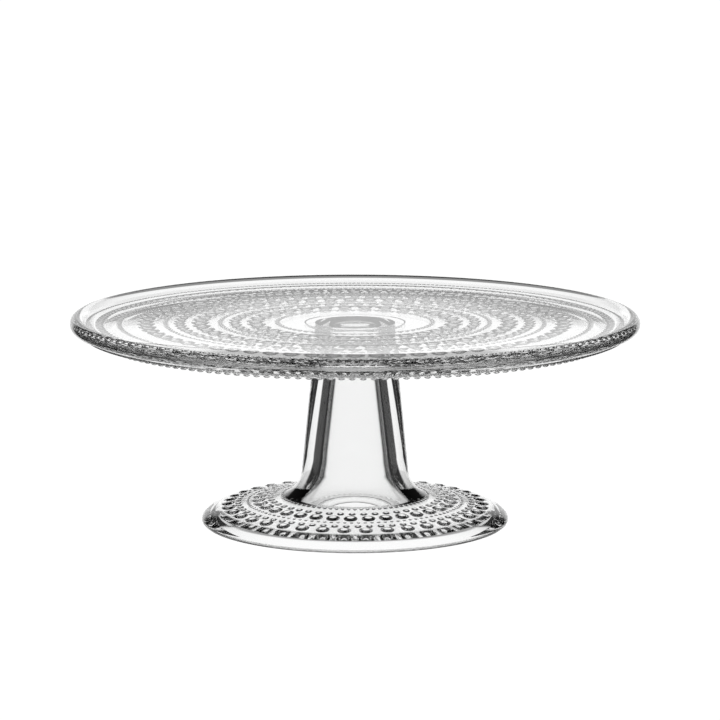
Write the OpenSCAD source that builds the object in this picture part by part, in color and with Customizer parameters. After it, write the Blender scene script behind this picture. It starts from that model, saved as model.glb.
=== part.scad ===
// Footed pressed-glass cake stand: a round beaded plate on a hollow, flared pedestal.
// Millimetres, +Z up. The origin is on the table, under the centre of the foot.

/* [Overall] */
// Height of the plate's rim above the table
stand_h = 117; // [105:1:150]

/* [Plate] */
// Diameter of the plate over its rim
plate_d = 315; // [312:1:330]
// Height of the rim above the flat floor of the plate
rim_rise = 3.7; // [3:0.1:5]
// Width of the rounded lip on top of the rim
lip_w = 8; // [7:0.1:8.5]
// Width of the slope from the lip down to the floor
rim_slope_w = 3; // [2:0.1:6]
// Width of the slanted wall from the underside out to the lip
wall_w = 12.2; // [11:0.1:13]
// Thickness of the glass of the plate
plate_t = 8; // [7:0.1:9]
// Diameter of the flat pad under the centre of the plate
pad_d = 56; // [50:1:60]
// Height of the pad below the underside
pad_h = 1.6; // [0.8:0.1:2.5]

/* [Pedestal] */
// Diameter of the stem where it meets the plate
stem_top_d = 44.4; // [40:0.1:48]
// Diameter of the stem just above the flare of the foot
stem_base_d = 59; // [56:0.1:62]
// Radius of the flare between the stem and the foot
flare_r = 17; // [15:0.5:19]
// Diameter of the foot
foot_d = 171; // [170:1:180]
// Height of the beaded top of the foot at its outer edge
foot_edge_h = 8.8; // [8:0.1:11]
// Slope of the beaded top of the foot, in degrees
foot_slope = 9.25; // [8:0.25:11]
// Slope of the underside of the foot, in degrees
under_slope = 11.5; // [10:0.5:12.5]
// Thickness of the glass at the inner edge of the foot
foot_t = 4; // [3.5:0.1:5]
// Thickness of the glass over the top of the hollow
stem_cap_t = 6.5; // [4:0.5:10]
// Diameter of the hollow near its top
bore_top_d = 24; // [20:0.5:26]
// Diameter of the hollow where it starts to open into the foot
bore_base_d = 36.4; // [32:0.2:38]
// Thickness of the clear adhesive film between the two pieces of glass
bond_t = 0.15; // [0.1:0.05:0.5]

/* [Beads] */
// Diameter of the large beads under the plate
plate_bead_d = 8.6; // [7:0.1:9.5]
// Diameter of the large beads on the foot
foot_bead_d = 5.3; // [4.6:0.1:5.4]
// Height of the large beads above the foot
foot_bead_h = 0.8; // [0.8:0.05:1.2]

/* [Hidden] */
round_fn = 240;
bead_fn = 20;

// Plate heights and radii
plate_r = plate_d / 2;
lip_r = lip_w / 2;
floor_z = stand_h - rim_rise;
floor_r = plate_r - lip_w - rim_slope_w;
under_z = floor_z - plate_t;
under_r = plate_r - wall_w;
pad_r = pad_d / 2;
pad_z = under_z - pad_h;
stem_top_z = pad_z - bond_t;

// Rings of beads under the plate: groups of a large ring with a medium one outside it
ring_groups = 3;
first_ring_r = 55;
group_pitch = 30.5;
medium_gap = 11.5;
large_pitch = 11.4;
edge_ring_gap = 3.3;
edge_pitch = 5.6;

// Foot radii and heights
foot_r = foot_d / 2;
field_r = foot_r - 10.3;
recess_r = foot_r - 9;
base_in_r = foot_r - 7.5;
open_r = stem_base_d / 2 + 9;
flare_centre_r = stem_base_d / 2 + flare_r;
flare_centre_z = foot_z(flare_centre_r) + flare_r / cos(foot_slope);
large_foot_rings = [[foot_r - 31.7, 35], [foot_r - 14.5, 38]];
small_foot_rings = [[foot_r - 38.3, 47], [foot_r - 20.3, 65]];

// Height of the beaded top of the foot, and of the underside, at a radius
function foot_z(r) = foot_edge_h + (field_r - r) * tan(foot_slope);
function recess_z(r) = foot_z(open_r) - foot_t - (r - open_r) * tan(under_slope);

// Points along an arc, from one angle to another
function arc(centre, radius, from, to, steps = 8) = [
    for (i = [0:steps])
        let (a = from + (to - from) * i / steps)
            centre + radius * [cos(a), sin(a)]
];

// Points along a smooth curve from a to d, drawn towards b and c
function bend(a, b, c, d, steps = 10) = [
    for (i = [0:steps])
        let (t = i / steps)
            pow(1 - t, 3) * a + 3 * t * pow(1 - t, 2) * b + 3 * t * t * (1 - t) * c + pow(t, 3) * d
];

// A ring of round beads under a flat face at bead_z; each is a cap of the given diameter and height
module bead_ring(ring_r, bead_z, bead_d, bead_h, pitch) {
    count = round(2 * PI * ring_r / pitch);
    ball_r = (pow(bead_d / 2, 2) + pow(bead_h, 2)) / (2 * bead_h);
    for (i = [0:count - 1])
        rotate(i * 360 / count)
            translate([ring_r, 0, bead_z + ball_r - bead_h]) sphere(r = ball_r, $fn = bead_fn);
}

// A ring of low round beads on the sloping top of the foot
module foot_ring(ring_r, count, bead_d, bead_h) {
    ball_r = (pow(bead_d / 2, 2) + pow(bead_h, 2)) / (2 * bead_h);
    depth = ball_r - bead_h;
    for (i = [0:count - 1])
        rotate(i * 360 / count)
            translate([ring_r - depth * sin(foot_slope), 0, foot_z(ring_r) - depth * cos(foot_slope)])
                sphere(r = ball_r, $fn = bead_fn);
}

// Half of the plate's section, from the floor over the lip to the pad
module plate_section() {
    polygon(concat(
        [[0, floor_z], [floor_r, floor_z]],
        arc([plate_r - lip_r, stand_h - lip_r], lip_r, 160, -50, 14),
        [[under_r, under_z], [pad_r, under_z], [pad_r - pad_h / 2, pad_z], [0, pad_z]]
    ));
}

module plate() {
    color([0.93, 0.95, 0.95, 0.45]) union() {
        rotate_extrude($fn = round_fn) plate_section();
        for (group = [0:ring_groups - 1]) {
            large_r = first_ring_r + group * group_pitch;
            bead_ring(large_r, under_z, plate_bead_d, 2.9, large_pitch);
            if (group < ring_groups - 1)
                bead_ring(large_r + medium_gap, under_z, 0.7 * plate_bead_d, 2, 0.75 * large_pitch);
        }
        bead_ring(under_r - edge_ring_gap, under_z, 0.53 * plate_bead_d, 1.5, edge_pitch);
    }
}

// Half of the pedestal's outline, solid: stem, flare, sloping foot and rounded edge
module pedestal_section() {
    polygon(concat(
        [[0, 0], [0, stem_top_z], [stem_top_d / 2, stem_top_z]],
        arc([flare_centre_r, flare_centre_z], flare_r, -180, -90 - foot_slope, 12),
        [[field_r, foot_edge_h], [foot_r - 8.5, 8.2], [foot_r - 6, 7.3], [foot_r - 3.5, 6.1]],
        [[foot_r - 1.5, 4.5], [foot_r - 0.4, 3.1], [foot_r, 1.9], [foot_r - 0.3, 0.7], [foot_r - 1.1, 0]]
    ));
}

// Half of the hollow, from the recess under the foot up a trumpet curve to the closed top of the stem
module hollow_section() {
    top_r = bore_top_d / 2;
    base_r = bore_base_d / 2;
    bore_top_z = stem_top_z - stem_cap_t;
    curve_z = recess_z(open_r) + 27.2;
    polygon(concat(
        [[0, -1], [base_in_r + 0.5, -1], [recess_r, recess_z(recess_r)]],
        bend([open_r, recess_z(open_r)], [open_r - 12, recess_z(open_r - 12)],
             [base_r + 0.2, curve_z - 14], [base_r, curve_z]),
        arc([top_r - 5, bore_top_z - 5], 5, 0, 80, 5),
        [[0, bore_top_z]]
    ));
}

module pedestal() {
    color([0.95, 0.96, 0.96, 0.45]) difference() {
        union() {
            rotate_extrude($fn = round_fn) pedestal_section();
            for (ring = large_foot_rings) foot_ring(ring[0], ring[1], foot_bead_d, foot_bead_h);
            for (ring = small_foot_rings) foot_ring(ring[0], ring[1], 0.52 * foot_bead_d, 0.5 * foot_bead_h);
        }
        rotate_extrude($fn = round_fn) hollow_section();
    }
}

// Clear adhesive between the pad of the plate and the top land of the stem
module bond_film() {
    color([0.9, 0.92, 0.92, 0.35]) translate([0, 0, stem_top_z])
        cylinder(h = bond_t, d = stem_top_d - 0.8, $fn = round_fn);
}

plate();
pedestal();
bond_film();
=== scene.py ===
"""Footed pressed-glass cake stand: finely beaded glass meshes, clear glass, and a bright-field studio.

The glass is built in millimetres, as outlines of (r, z) points that are turned about Z. The studio is
in metres.
"""
import math
from collections import namedtuple

import bmesh
import bpy
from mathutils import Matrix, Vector


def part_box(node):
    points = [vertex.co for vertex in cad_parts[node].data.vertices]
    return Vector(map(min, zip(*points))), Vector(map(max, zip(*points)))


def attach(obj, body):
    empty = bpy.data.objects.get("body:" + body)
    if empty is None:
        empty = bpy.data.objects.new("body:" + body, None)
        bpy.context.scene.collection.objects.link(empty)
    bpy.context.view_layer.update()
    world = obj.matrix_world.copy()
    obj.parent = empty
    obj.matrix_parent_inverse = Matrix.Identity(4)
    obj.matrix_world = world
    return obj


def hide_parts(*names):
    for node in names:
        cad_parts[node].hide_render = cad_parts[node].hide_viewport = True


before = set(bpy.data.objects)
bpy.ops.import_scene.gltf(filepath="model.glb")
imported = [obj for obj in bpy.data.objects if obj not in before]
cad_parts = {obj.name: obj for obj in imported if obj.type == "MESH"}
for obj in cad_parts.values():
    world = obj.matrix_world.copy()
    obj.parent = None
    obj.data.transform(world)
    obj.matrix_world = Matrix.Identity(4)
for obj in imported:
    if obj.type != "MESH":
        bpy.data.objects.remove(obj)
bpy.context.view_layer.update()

MM = 0.001
TAU = 2 * math.pi

# ---------------------------------------------------------------- sizes from the frame, in mm
plate_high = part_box("plate")[1]
foot_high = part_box("pedestal")[1]
film_low, film_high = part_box("bond_film")

FILM_INSET = 0.4
STAND_H = plate_high[2] / MM
PLATE_R = plate_high[0] / MM
FOOT_R = foot_high[0] / MM
PAD_Z = film_high[2] / MM
STEM_TOP_Z = film_low[2] / MM
STEM_TOP_R = film_high[0] / MM + FILM_INSET

# ---------------------------------------------------------------- sizes of the plate, in mm
RIM_RISE = 3.7
LIP_R = 4.0
RIM_SLOPE_W = 3
PLATE_T = 8
WALL_W = 12.2
FLOOR_EASE_W = 0.8
FLOOR_EASE_H = 0.25
PAD_R = 28
PAD_BEVEL = 0.8

FLOOR_R = PLATE_R - 2 * LIP_R - RIM_SLOPE_W
FLOOR_Z = STAND_H - RIM_RISE
UNDER_R = PLATE_R - WALL_W
UNDER_Z = FLOOR_Z - PLATE_T

# The rounded lip, as an arc from the plate's floor over the rim to the slanted wall, in degrees
LIP_START = 160
LIP_END = -50
LIP_END_R = PLATE_R - LIP_R + LIP_R * math.cos(math.radians(LIP_END))
LIP_END_Z = STAND_H - LIP_R + LIP_R * math.sin(math.radians(LIP_END))
WALL_SLOPE = math.atan2(LIP_END_Z - UNDER_Z, LIP_END_R - UNDER_R)

# The ring on the slanted wall, and the rings under the plate: the edge ring, a fine one, groups of a large, a
# medium and a dotted ring, of which the outermost is only large, and a last dotted ring round the pad
WALL_RING_R = 149.6
EDGE_RING_R = 142
FINE_RING_R = 131
RING_GROUPS = 3
FIRST_RING_R = 55
GROUP_PITCH = 30.5
MEDIUM_GAP = 11.5
DOT_GAP = 19.5
INNER_DOTS_R = 43

# ---------------------------------------------------------------- sizes of the pedestal, in mm
STEM_BASE_R = 29.5
FLARE_R = 17
FOOT_SLOPE = math.radians(9.25)
SHOULDER_R = FOOT_R - 11.5
SHOULDER_Z = 9

# The flare, as an arc in degrees that stops and resumes on either side of its band of dots
FLARE_START = -180
FLARE_STOP = -114.5
FLARE_DOTS_AT = -109.6
FLARE_RESUME = -104
FLARE_END = -90 - math.degrees(FOOT_SLOPE)
FLARE_DOTS = 76

# The underside of the foot, and the hollow that opens into it
BASE_IN_R = FOOT_R - 7.5
RECESS_R = FOOT_R - 9
OPEN_R = STEM_BASE_R + 9
FOOT_T = 4
UNDER_SLOPE = math.radians(11.5)
BORE_BASE_R = 18.2
BORE_BASE_Z = 38
BORE_TOP_R = 12
BORE_TOP_Z = 97
BORE_ROUND_R = 5
# The curve up from the foot to the bore is drawn to a point this far in under the foot, and to one this far
# out from the bore's base and this far below it
BEND_IN = 12
BEND_OUT = 0.2
BEND_DOWN = 14

# The rounded edge of the foot: how far each point lies inside the foot's radius, and its height
FOOT_EDGE = ((8.5, 8.2), (6, 7.3), (3.5, 6.1), (1.5, 4.5), (0.4, 3.1), (0, 1.9), (0.3, 0.7), (1.1, 0))

# ---------------------------------------------------------------- beads, in mm
# radius and rise: of the dome. reach: half the width of its band. moat: depth of the groove round it, as a
# share of the radius. sides: edges along each side of its patch. rows: rings of faces in the dome.
Bead = namedtuple("Bead", "radius rise reach moat sides rows")

NO_MOAT = 0.03
MOAT = 0.22
# The dome runs this many degrees down from the bead's tip, and the groove takes over there
DOME_TURN = 80
# A groove's outline: the share of the way from the dome to its outer edge, and the share of its depth
GROOVE = ((0.15, 1.0), (0.4, 0.75), (0.75, 0.2), (1.0, 0.0))
FAINT_GROOVE = ((0.4, 0.5), (1.0, 0.0))

LARGE = Bead(4.3, 2.9, 5.2, NO_MOAT, 4, 5)
MEDIUM = Bead(3.0, 2.0, 3.6, NO_MOAT, 3, 4)
EDGE = Bead(2.3, 1.5, 2.6, NO_MOAT, 3, 3)
FINE = Bead(1.5, 1.0, 1.8, NO_MOAT, 2, 3)
DOT = Bead(1.3, 0.8, 1.7, NO_MOAT, 2, 2)
WALL = Bead(1.15, 0.8, 1.3, NO_MOAT, 2, 2)
FOOT_LARGE = Bead(3.4, 0.8, 4.2, MOAT, 4, 7)
FOOT_SMALL = Bead(1.75, 0.35, 2.1, MOAT, 3, 5)
FOOT_DOT = Bead(0.85, 0.3, 1.4, MOAT, 2, 3)
FLARE_DOT = Bead(0.85, 0.3, 1.25, MOAT, 2, 3)

# Distance between the beads in the plate's rings
PITCH = {LARGE: 11.4, MEDIUM: 8.5, EDGE: 5.6, FINE: 4.6, DOT: 4.6, WALL: 2.65}

# The rings on the foot, from the flare outwards: radius, bead and number of beads
FOOT_RINGS = (
    (47.2, FOOT_SMALL, 47),
    (53.8, FOOT_LARGE, 35),
    (59.8, FOOT_DOT, 102),
    (65.2, FOOT_SMALL, 65),
    (71, FOOT_LARGE, 38),
)

RIM_STEPS = 320
SHARP_EDGE = math.radians(40)


# ---------------------------------------------------------------- outlines and skins
def arc(centre_r, centre_z, radius, start, end, steps):
    """Points (r, z) along an arc; the angles are in degrees."""
    turns = [math.radians(start + (end - start) * i / steps) for i in range(steps + 1)]
    return [(centre_r + radius * math.cos(t), centre_z + radius * math.sin(t)) for t in turns]


def bend(a, b, c, d, steps):
    """Points (r, z) along a cubic curve from a to d, drawn towards b and c."""
    out = []
    for i in range(steps + 1):
        t = i / steps
        weights = ((1 - t) ** 3, 3 * t * (1 - t) ** 2, 3 * t * t * (1 - t), t ** 3)
        out.append(tuple(sum(w * p[j] for w, p in zip(weights, (a, b, c, d))) for j in (0, 1)))
    return out


def bead_outline(bead):
    """One bead's rings, from near its tip out over the dome and the groove to its edge, as (radius, height).

    A bead with a moat has a flat top and steep sides; any other is a half ellipse with a faint groove.
    """
    power, groove = (2, FAINT_GROOVE) if bead.moat == NO_MOAT else (8, GROOVE)
    dip = bead.moat * bead.radius
    dome_r = bead.radius - 1.1 * dip
    edge_r = bead.radius + 0.9 * dip
    shares = [math.sin(math.radians(DOME_TURN * k / bead.rows)) for k in range(1, bead.rows + 1)]
    dome = [(dome_r * s, (bead.rise + dip) * math.sqrt(1 - s ** power) - dip) for s in shares]
    return dome + [(dome_r + (edge_r - dome_r) * out, -dip * depth) for out, depth in groove]


class Skin:
    """A closed skin turned about Z, built one circle after another, with bands of round beads in it.

    A ring is a list of (turn, vertex) pairs, or of one pair at the axis.
    """

    def __init__(self):
        self.bm = bmesh.new()
        self.last = None

    def vert(self, r, z, turn):
        return self.bm.verts.new((r * math.cos(turn) * MM, r * math.sin(turn) * MM, z * MM))

    def tip(self, z):
        """Starts or ends the skin at the axis."""
        self.join([(0.0, self.vert(0, z, 0))])

    def circles(self, points):
        for r, z in points:
            self.join([(TAU * i / RIM_STEPS, self.vert(r, z, TAU * i / RIM_STEPS)) for i in range(RIM_STEPS)])

    def join(self, ring):
        """Joins the last ring to this one: with quads if they match, or else with triangles."""
        old, new = self.last, ring
        self.last = ring
        if old is None:
            return
        if len(old) == 1 or len(new) == 1:
            tip = (old if len(old) == 1 else new)[0][1]
            rim = new if len(old) == 1 else old
            for i in range(len(rim)):
                self.bm.faces.new((tip, rim[i][1], rim[(i + 1) % len(rim)][1]))
            return
        if len(old) == len(new) and abs(old[0][0] - new[0][0]) < 1e-6:
            for i in range(len(old)):
                j = (i + 1) % len(old)
                self.bm.faces.new((old[i][1], old[j][1], new[j][1], new[i][1]))
            return
        i = j = 0
        while i < len(old) or j < len(new):
            next_old = old[(i + 1) % len(old)][0] + TAU * ((i + 1) // len(old))
            next_new = new[(j + 1) % len(new)][0] + TAU * ((j + 1) // len(new))
            a, b = old[i % len(old)][1], new[j % len(new)][1]
            if j >= len(new) or (i < len(old) and next_old <= next_new):
                self.bm.faces.new((a, old[(i + 1) % len(old)][1], b))
                i += 1
            else:
                self.bm.faces.new((a, new[(j + 1) % len(new)][1], b))
                j += 1

    def beads(self, bead, count, r, z, along):
        """One band of beads round (r, z). along is the outline's direction there; the glass is on its right.

        Each bead has its own square patch of the band: two sides are on the band's edge circles, and two are
        shared with the patches beside it.
        """
        tr, tz = math.cos(along), math.sin(along)
        step = TAU / count
        reach, sides = bead.reach, bead.sides
        first, last, seams = [], [], []
        for i in range(count * sides):
            turn = (i / sides - 0.5) * step
            first.append((turn, self.vert(r - reach * tr, z - reach * tz, turn)))
            last.append((turn, self.vert(r + reach * tr, z + reach * tz, turn)))
        for i in range(count):
            turn = (i - 0.5) * step
            offsets = [-reach + 2 * reach * j / sides for j in range(1, sides)]
            seams.append([self.vert(r + u * tr, z + u * tz, turn) for u in offsets])
        self.join(first)
        for i in range(count):
            j = (i + 1) % count
            rim = [first[i * sides + k][1] for k in range(sides)]
            rim += [first[j * sides][1]] + seams[j]
            rim += [last[(j * sides - k) % (count * sides)][1] for k in range(sides)]
            rim += [last[i * sides][1]] + seams[i][::-1]
            self.bead(bead, r, z, tr, tz, i * step, rim)
        self.last = last

    def bead(self, bead, r, z, tr, tz, turn, rim):
        """One bead at the middle of its patch, joined to the patch's rim."""
        middle = Vector((r * math.cos(turn), r * math.sin(turn), z)) * MM
        along = Vector((tr * math.cos(turn), tr * math.sin(turn), tz))
        across = Vector((-math.sin(turn), math.cos(turn), 0))
        normal = Vector((-tz * math.cos(turn), -tz * math.sin(turn), tr))
        corner = -0.75 * math.pi
        angles = [corner - TAU * k / len(rim) for k in range(len(rim))]
        rings = []
        for radius, height in bead_outline(bead):
            lift = normal * height * MM
            spokes = [(along * math.cos(a) + across * math.sin(a)) * radius * MM for a in angles]
            rings.append([self.bm.verts.new(middle + spoke + lift) for spoke in spokes])
        rings.append(rim)
        tip = self.bm.verts.new(middle + normal * bead.rise * MM)
        for k in range(len(rim)):
            m = (k + 1) % len(rim)
            self.bm.faces.new((tip, rings[0][k], rings[0][m]))
            for inner, outer in zip(rings, rings[1:]):
                self.bm.faces.new((inner[k], outer[k], outer[m], inner[m]))

    def finish(self, name, bond_z):
        """Makes the object. The flat land at bond_z, where the adhesive sits, gets the bonded look."""
        bmesh.ops.recalc_face_normals(self.bm, faces=self.bm.faces)
        for face in self.bm.faces:
            face.smooth = True
        for edge in self.bm.edges:
            if len(edge.link_faces) == 2 and edge.calc_face_angle() > SHARP_EDGE:
                edge.smooth = False
        mesh = bpy.data.meshes.new(name)
        self.bm.to_mesh(mesh)
        self.bm.free()
        mesh.materials.append(GLASS)
        mesh.materials.append(BOND)
        for face in mesh.polygons:
            corners = [mesh.vertices[i].co for i in face.vertices]
            level = all(abs(co.z - bond_z * MM) < 1e-6 for co in corners)
            if level and max(co.xy.length for co in corners) < STEM_TOP_R * 1.01 * MM:
                face.material_index = 1
        obj = bpy.data.objects.new(name, mesh)
        bpy.context.collection.objects.link(obj)
        return obj


# ---------------------------------------------------------------- materials
def clear_glass(name):
    mat = bpy.data.materials.new(name)
    mat.use_nodes = True
    shader = mat.node_tree.nodes["Principled BSDF"]
    shader.inputs["Base Color"].default_value = (0.995, 0.997, 0.996, 1)
    shader.inputs["Roughness"].default_value = 0.0
    shader.inputs["IOR"].default_value = 1.52
    shader.inputs["Transmission Weight"].default_value = 1.0
    return mat


def see_through(name):
    """Glass bonded to glass: light goes straight on."""
    mat = bpy.data.materials.new(name)
    mat.use_nodes = True
    nt = mat.node_tree
    nt.nodes.clear()
    clear = nt.nodes.new("ShaderNodeBsdfTransparent")
    out = nt.nodes.new("ShaderNodeOutputMaterial")
    nt.links.new(clear.outputs[0], out.inputs["Surface"])
    return mat


GLASS = clear_glass("pressed_glass")
BOND = see_through("bond_clear")


# ---------------------------------------------------------------- the plate
def build_plate():
    """From the middle of the floor, over the rim and down the wall, then in under the plate to its pad."""
    skin = Skin()

    def ring(bead, r, z=UNDER_Z, along=math.pi):
        skin.beads(bead, round(TAU * r / PITCH[bead]), r, z, along)

    skin.tip(FLOOR_Z)
    skin.circles([(PAD_R, FLOOR_Z), (0.6 * FLOOR_R, FLOOR_Z), (FLOOR_R, FLOOR_Z)])
    skin.circles([(FLOOR_R + FLOOR_EASE_W, FLOOR_Z + FLOOR_EASE_H)])
    skin.circles(arc(PLATE_R - LIP_R, STAND_H - LIP_R, LIP_R, LIP_START, LIP_END, 20))
    wall_ring_z = UNDER_Z + (WALL_RING_R - UNDER_R) * math.tan(WALL_SLOPE)
    ring(WALL, WALL_RING_R, wall_ring_z, math.pi + WALL_SLOPE)
    skin.circles([(UNDER_R, UNDER_Z)])
    ring(EDGE, EDGE_RING_R)
    ring(FINE, FINE_RING_R)
    for group in reversed(range(RING_GROUPS)):
        large_r = FIRST_RING_R + GROUP_PITCH * group
        if group < RING_GROUPS - 1:
            ring(DOT, large_r + DOT_GAP)
            ring(MEDIUM, large_r + MEDIUM_GAP)
        ring(LARGE, large_r)
    ring(DOT, INNER_DOTS_R)
    skin.circles([(PAD_R, UNDER_Z), (PAD_R - PAD_BEVEL, PAD_Z), (STEM_TOP_R, PAD_Z)])
    skin.tip(PAD_Z)
    return skin.finish("plate_glass", PAD_Z)


# ---------------------------------------------------------------- the pedestal
def foot_top_z(r):
    return SHOULDER_Z + (SHOULDER_R - r) * math.tan(FOOT_SLOPE)


def foot_under_z(r):
    return foot_top_z(OPEN_R) - FOOT_T - (r - OPEN_R) * math.tan(UNDER_SLOPE)


def build_pedestal():
    """From the top of the stem, down over the flare and the foot, then up inside to the end of the hollow."""
    skin = Skin()
    skin.tip(STEM_TOP_Z)
    skin.circles([(STEM_TOP_R, STEM_TOP_Z)])

    centre_r = STEM_BASE_R + FLARE_R
    centre_z = foot_top_z(centre_r) + FLARE_R / math.cos(FOOT_SLOPE)
    dots = math.radians(FLARE_DOTS_AT)
    dots_r = centre_r + FLARE_R * math.cos(dots)
    dots_z = centre_z + FLARE_R * math.sin(dots)
    skin.circles(arc(centre_r, centre_z, FLARE_R, FLARE_START, FLARE_STOP, 16))
    skin.beads(FLARE_DOT, FLARE_DOTS, dots_r, dots_z, dots + math.pi / 2)
    skin.circles(arc(centre_r, centre_z, FLARE_R, FLARE_RESUME, FLARE_END, 2))

    for r, bead, count in FOOT_RINGS:
        skin.beads(bead, count, r, foot_top_z(r), -FOOT_SLOPE)
    skin.circles([(FOOT_R - inside, z) for inside, z in FOOT_EDGE])

    skin.circles([(BASE_IN_R, 0), (RECESS_R, foot_under_z(RECESS_R))])
    skin.circles(bend((OPEN_R, foot_under_z(OPEN_R)), (OPEN_R - BEND_IN, foot_under_z(OPEN_R - BEND_IN)),
                      (BORE_BASE_R + BEND_OUT, BORE_BASE_Z - BEND_DOWN), (BORE_BASE_R, BORE_BASE_Z), 18))
    skin.circles(arc(BORE_TOP_R - BORE_ROUND_R, BORE_TOP_Z - BORE_ROUND_R, BORE_ROUND_R, 0, 80, 6))
    skin.tip(BORE_TOP_Z)
    return skin.finish("pedestal_glass", STEM_TOP_Z)


for piece, node in ((build_plate(), "plate"), (build_pedestal(), "pedestal")):
    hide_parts(node)
    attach(piece, "root")
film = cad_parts["bond_film"]
film.data.materials.clear()
film.data.materials.append(BOND)

# ---------------------------------------------------------------- the studio
# Brightness of the room, and of the screen behind the stand
ROOM = 0.03
SCREEN = 1.06
# Angles in degrees, sideways from the camera's heading and up or down from its tilt
# Half the width of the screen and its height above the middle, with soft edges
SCREEN_AZ = 26
SCREEN_EL = 34
SOFT = 4 / SCREEN_AZ
# Between these heights it dims to a share of its brightness
DIM_FROM = 17
DIM_TO = 20
DIM = 0.78
# At this depth only a share of its light is left, and that ends between two lower ones
LOW_DEPTH = 20.6
LOW_SOFT = 2
LOW = 0.3
END_FROM = 30
END_TO = 50
# The floor, in metres, has a painted pool of light: a bright ring under and round the edge of the foot, with
# soft edges
FLOOR_HALF = 3
FLOOR_Z_M = -0.0005
RING_PAINTED_LIGHT = 0.8
RING_PAINTED_LIGHT_INNER = (0.0765, 0.0785)
RING_PAINTED_LIGHT_OUTER = (0.1, 0.12)


def sheet(name, half, z, mat):
    """A level square, which the export leaves out."""
    corners = [(-half, -half, z), (half, -half, z), (half, half, z), (-half, half, z)]
    mesh = bpy.data.meshes.new(name)
    mesh.from_pydata(corners, [], [(0, 1, 2, 3)])
    mesh.materials.append(mat)
    obj = bpy.data.objects.new(name, mesh)
    bpy.context.collection.objects.link(obj)


def maths(nt, kind, a, b=None):
    """One math node; a and b are sockets or numbers."""
    node = nt.nodes.new("ShaderNodeMath")
    node.operation = kind
    for i, value in enumerate((a, b)):
        if value is None:
            continue
        if isinstance(value, (int, float)):
            node.inputs[i].default_value = value
        else:
            nt.links.new(value, node.inputs[i])
    return node.outputs[0]


def fade(nt, value, low, high):
    """1 below low, 0 above high, smooth between."""
    node = nt.nodes.new("ShaderNodeMapRange")
    node.interpolation_type = "SMOOTHSTEP"
    node.inputs["From Min"].default_value = low
    node.inputs["From Max"].default_value = high
    node.inputs["To Min"].default_value = 1
    node.inputs["To Max"].default_value = 0
    nt.links.new(value, node.inputs["Value"])
    return node.outputs[0]


def surroundings(nt, direction):
    """How bright the studio is in a world direction; the studio turns with the camera.

    A white screen stands behind the object as the camera sees it, a little dimmer high up and much dimmer low
    down, and the room is dim everywhere else.
    """
    heading = nt.nodes.new("ShaderNodeVectorTransform")
    heading.vector_type = "VECTOR"
    heading.convert_from, heading.convert_to = "CAMERA", "WORLD"
    heading.inputs[0].default_value = (0, 0, 1)
    ahead = nt.nodes.new("ShaderNodeSeparateXYZ")
    nt.links.new(heading.outputs[0], ahead.inputs[0])
    ray = nt.nodes.new("ShaderNodeSeparateXYZ")
    nt.links.new(direction, ray.inputs[0])
    hx, hy = ahead.outputs["X"], ahead.outputs["Y"]
    dx, dy, dz = (ray.outputs[k] for k in "XYZ")

    def mul(a, b):
        return maths(nt, "MULTIPLY", a, b)

    def length(a, b):
        return maths(nt, "SQRT", maths(nt, "ADD", mul(a, a), mul(b, b)))

    # Degrees to the side of the camera's heading, and above or below the way it tilts
    along = maths(nt, "ADD", mul(dx, hx), mul(dy, hy))
    across = maths(nt, "SUBTRACT", mul(dx, hy), mul(dy, hx))
    az = mul(maths(nt, "ABSOLUTE", maths(nt, "ARCTAN2", across, along)), math.degrees(1))
    el = mul(maths(nt, "ARCTAN2", dz, length(dx, dy)), math.degrees(1))
    tilt = mul(maths(nt, "ARCSINE", ahead.outputs["Z"]), math.degrees(1))
    over = maths(nt, "SUBTRACT", el, tilt)
    under = mul(over, -1.0)

    side = maths(nt, "DIVIDE", az, SCREEN_AZ)
    rise = maths(nt, "DIVIDE", maths(nt, "MAXIMUM", over, 0.0), SCREEN_EL)
    screen = fade(nt, length(side, rise), 1 - SOFT, 1 + SOFT)
    high = maths(nt, "ADD", mul(fade(nt, over, DIM_FROM, DIM_TO), 1 - DIM), DIM)
    bright = mul(fade(nt, under, LOW_DEPTH - LOW_SOFT, LOW_DEPTH + LOW_SOFT), 1 - LOW)
    low = maths(nt, "ADD", bright, mul(fade(nt, under, END_FROM, END_TO), LOW))
    lit = mul(screen, mul(high, low))
    return maths(nt, "ADD", mul(lit, SCREEN - ROOM), ROOM)


def build_world():
    """The studio in every direction; the camera itself sees plain white."""
    world = bpy.data.worlds.new("studio")
    bpy.context.scene.world = world
    world.use_nodes = True
    nt = world.node_tree
    nt.nodes.clear()
    coord = nt.nodes.new("ShaderNodeTexCoord")
    path = nt.nodes.new("ShaderNodeLightPath")
    light = maths(nt, "MAXIMUM", surroundings(nt, coord.outputs["Generated"]), path.outputs["Is Camera Ray"])
    back = nt.nodes.new("ShaderNodeBackground")
    back.inputs["Color"].default_value = (1, 1, 1, 1)
    nt.links.new(light, back.inputs["Strength"])
    out = nt.nodes.new("ShaderNodeOutputWorld")
    nt.links.new(back.outputs[0], out.inputs["Surface"])


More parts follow.
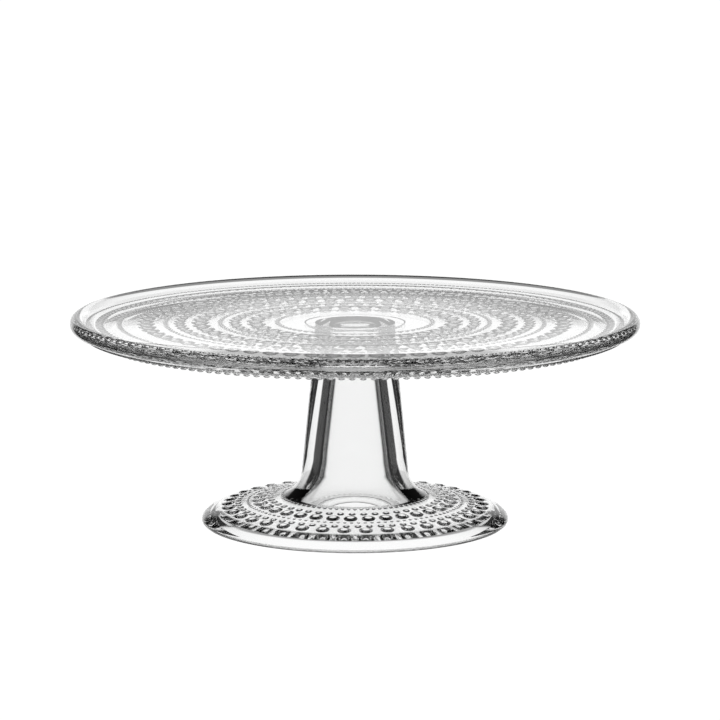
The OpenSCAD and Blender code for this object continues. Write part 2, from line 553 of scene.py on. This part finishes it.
def floor_material():
    """White as the camera sees it, as bright as the studio through the glass, with a painted pool of light in
    a ring round the edge of the foot, and clear from below.
    """
    mat = bpy.data.materials.new("floor_white")
    mat.use_nodes = True
    nt = mat.node_tree
    nt.nodes.clear()
    geometry = nt.nodes.new("ShaderNodeNewGeometry")
    path = nt.nodes.new("ShaderNodeLightPath")
    ray = nt.nodes.new("ShaderNodeVectorMath")
    ray.operation = "SCALE"
    ray.inputs["Scale"].default_value = -1
    nt.links.new(geometry.outputs["Incoming"], ray.inputs[0])

    place = nt.nodes.new("ShaderNodeSeparateXYZ")
    nt.links.new(geometry.outputs["Position"], place.inputs[0])
    px, py = place.outputs["X"], place.outputs["Y"]
    far = maths(nt, "SQRT", maths(nt, "ADD", maths(nt, "MULTIPLY", px, px), maths(nt, "MULTIPLY", py, py)))
    # Painted light: a bright ring on the floor under and round the edge of the foot, where light would pool
    ring = maths(nt, "SUBTRACT", fade(nt, far, *RING_PAINTED_LIGHT_OUTER), fade(nt, far, *RING_PAINTED_LIGHT_INNER))
    light = maths(nt, "MAXIMUM", surroundings(nt, ray.outputs[0]), maths(nt, "MULTIPLY", ring, RING_PAINTED_LIGHT))
    light = maths(nt, "MAXIMUM", light, path.outputs["Is Camera Ray"])

    glow = nt.nodes.new("ShaderNodeEmission")
    nt.links.new(light, glow.inputs["Strength"])
    clear = nt.nodes.new("ShaderNodeBsdfTransparent")
    mix = nt.nodes.new("ShaderNodeMixShader")
    nt.links.new(geometry.outputs["Backfacing"], mix.inputs[0])
    nt.links.new(glow.outputs[0], mix.inputs[1])
    nt.links.new(clear.outputs[0], mix.inputs[2])
    out = nt.nodes.new("ShaderNodeOutputMaterial")
    nt.links.new(mix.outputs[0], out.inputs["Surface"])
    return mat


build_world()
sheet("floor", FLOOR_HALF, FLOOR_Z_M, floor_material())

# ---------------------------------------------------------------- the camera, in metres
CAM_DISTANCE = 1.9
CAM_HEIGHT = 0.407
AIM_HEIGHT = 0.0908

lens = bpy.data.cameras.new("camera")
lens.lens = 173.6
lens.sensor_width = 36
lens.shift_x = 0.0069
camera = bpy.data.objects.new("camera", lens)
bpy.context.collection.objects.link(camera)
camera.location = (0, -CAM_DISTANCE, CAM_HEIGHT)
aim = Vector((0, 0, AIM_HEIGHT)) - camera.location
camera.rotation_euler = aim.to_track_quat("-Z", "Y").to_euler()

scene = bpy.context.scene
scene.camera = camera
scene.view_settings.view_transform = "Standard"
scene.cycles.max_bounces = 7
scene.cycles.transmission_bounces = 7
scene.cycles.glossy_bounces = 12
scene.cycles.use_denoising = True
